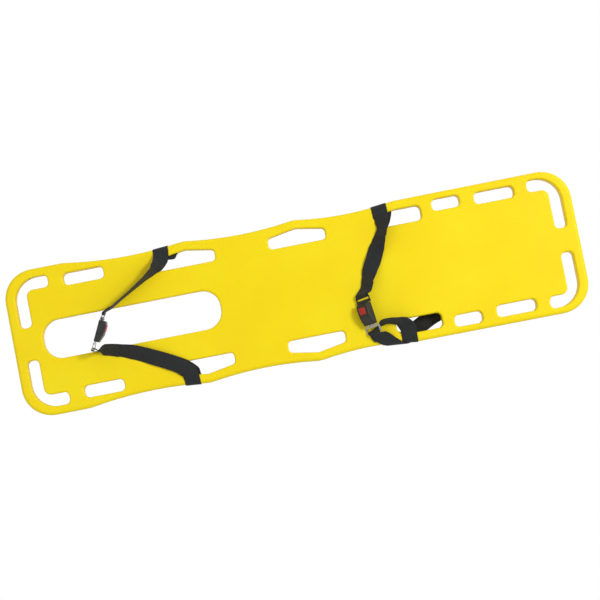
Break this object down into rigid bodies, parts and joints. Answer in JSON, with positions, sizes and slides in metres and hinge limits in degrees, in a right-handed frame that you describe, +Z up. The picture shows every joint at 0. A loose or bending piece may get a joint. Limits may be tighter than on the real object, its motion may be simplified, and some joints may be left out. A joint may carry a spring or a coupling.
{
  "type": "rescue board",
  "caption": "Long moulded rescue board with hand slots round its rim, and two webbing straps closed by push-button buckles.",
  "frame": {"origin": "middle of the floor under the board", "axes": "+X towards the head end, +Y across the board, +Z up out of the lying surface"},
  "size_m": [1.84, 0.472, 0.11],
  "materials": {
    "board_skin": "moulded, fine texture",
    "foam": "foam",
    "rod": "plain",
    "plug": "plain",
    "webbing": "woven",
    "steel": "plated",
    "coated_steel": "black coated",
    "black_plastic": "fine grain",
    "red_plastic": "smooth"
  },
  "bodies": {
    "board": {"board_shell": "board_skin", "foam_core": "foam", "stiffener_rods": "rod", "fill_plugs": "plug", "chest_upper_webbing": "webbing", "chest_lower_webbing": "webbing", "chest_buckle_frame": "steel", "chest_top_cover": "black_plastic", "chest_bottom_cover": "black_plastic", "chest_latch_pin": "steel", "chest_latch_spring": "steel", "chest_ejector_spring": "steel", "chest_cover_screws": "steel", "leg_upper_webbing": "webbing", "leg_lower_webbing": "webbing", "leg_buckle_frame": "steel", "leg_top_cover": "black_plastic", "leg_bottom_cover": "black_plastic", "leg_latch_pin": "steel", "leg_latch_spring": "steel", "leg_ejector_spring": "steel", "leg_cover_screws": "steel"},
    "chest_button": {"chest_button": "red_plastic"},
    "chest_latch": {"chest_latch": "steel"},
    "chest_ejector": {"chest_ejector": "black_plastic"},
    "chest_tongue": {"chest_tongue": "coated_steel", "chest_tongue_boot": "black_plastic"},
    "leg_button": {"leg_button": "red_plastic"},
    "leg_latch": {"leg_latch": "steel"},
    "leg_ejector": {"leg_ejector": "black_plastic"},
    "leg_tongue": {"leg_tongue": "coated_steel", "leg_tongue_boot": "black_plastic"}
  },
  "joints": [
    {"name": "chest_button_press", "type": "slide", "parent": "board", "child": "chest_button", "axis": [0.7018, 0.0862, -0.7071], "range_m": [0, 0.0048], "stiffness_N_per_m": 400, "springref_m": -0.001},
    {"name": "chest_latch_swing", "type": "hinge", "parent": "board", "child": "chest_latch", "pos_m": [0.19989, -0.11349, 0.08366], "axis": [-0.7018, -0.0862, -0.7071], "range_deg": [0, 21], "deforming": ["chest_latch_spring"]},
    {"name": "chest_ejector_slide", "type": "slide", "parent": "board", "child": "chest_ejector", "axis": [-0.1219, 0.9925, 0], "range_m": [0, 0.009], "deforming": ["chest_ejector_spring"]},
    {"name": "chest_tongue_release", "type": "slide", "parent": "board", "child": "chest_tongue", "axis": [-0.1219, 0.9925, 0], "range_m": [0, 0.009], "deforming": ["chest_upper_webbing"]},
    {"name": "leg_button_press", "type": "slide", "parent": "board", "child": "leg_button", "axis": [-0.9026, 0.4305, 0], "range_m": [0, 0.0048], "stiffness_N_per_m": 400, "springref_m": -0.001},
    {"name": "leg_latch_swing", "type": "hinge", "parent": "board", "child": "leg_latch", "pos_m": [-0.63218, -0.00594, 0.078], "axis": [0, 0, 1], "range_deg": [0, 21], "deforming": ["leg_latch_spring"]},
    {"name": "leg_ejector_slide", "type": "slide", "parent": "board", "child": "leg_ejector", "axis": [0.4305, 0.9026, 0], "range_m": [0, 0.009], "deforming": ["leg_ejector_spring"]},
    {"name": "leg_tongue_release", "type": "slide", "parent": "board", "child": "leg_tongue", "axis": [0.4305, 0.9026, 0], "range_m": [0, 0.009], "deforming": ["leg_upper_webbing"]}
  ],
  "couplings": [
    {"joint": "chest_latch_swing", "follows": "chest_button_press", "rad_per_m": 76.3},
    {"joint": "chest_ejector_slide", "follows": "chest_button_press", "ratio": 1.87},
    {"joint": "chest_tongue_release", "follows": "chest_button_press", "ratio": 1.87},
    {"joint": "leg_latch_swing", "follows": "leg_button_press", "rad_per_m": 76.3},
    {"joint": "leg_ejector_slide", "follows": "leg_button_press", "ratio": 1.87},
    {"joint": "leg_tongue_release", "follows": "leg_button_press", "ratio": 1.87}
  ]
}
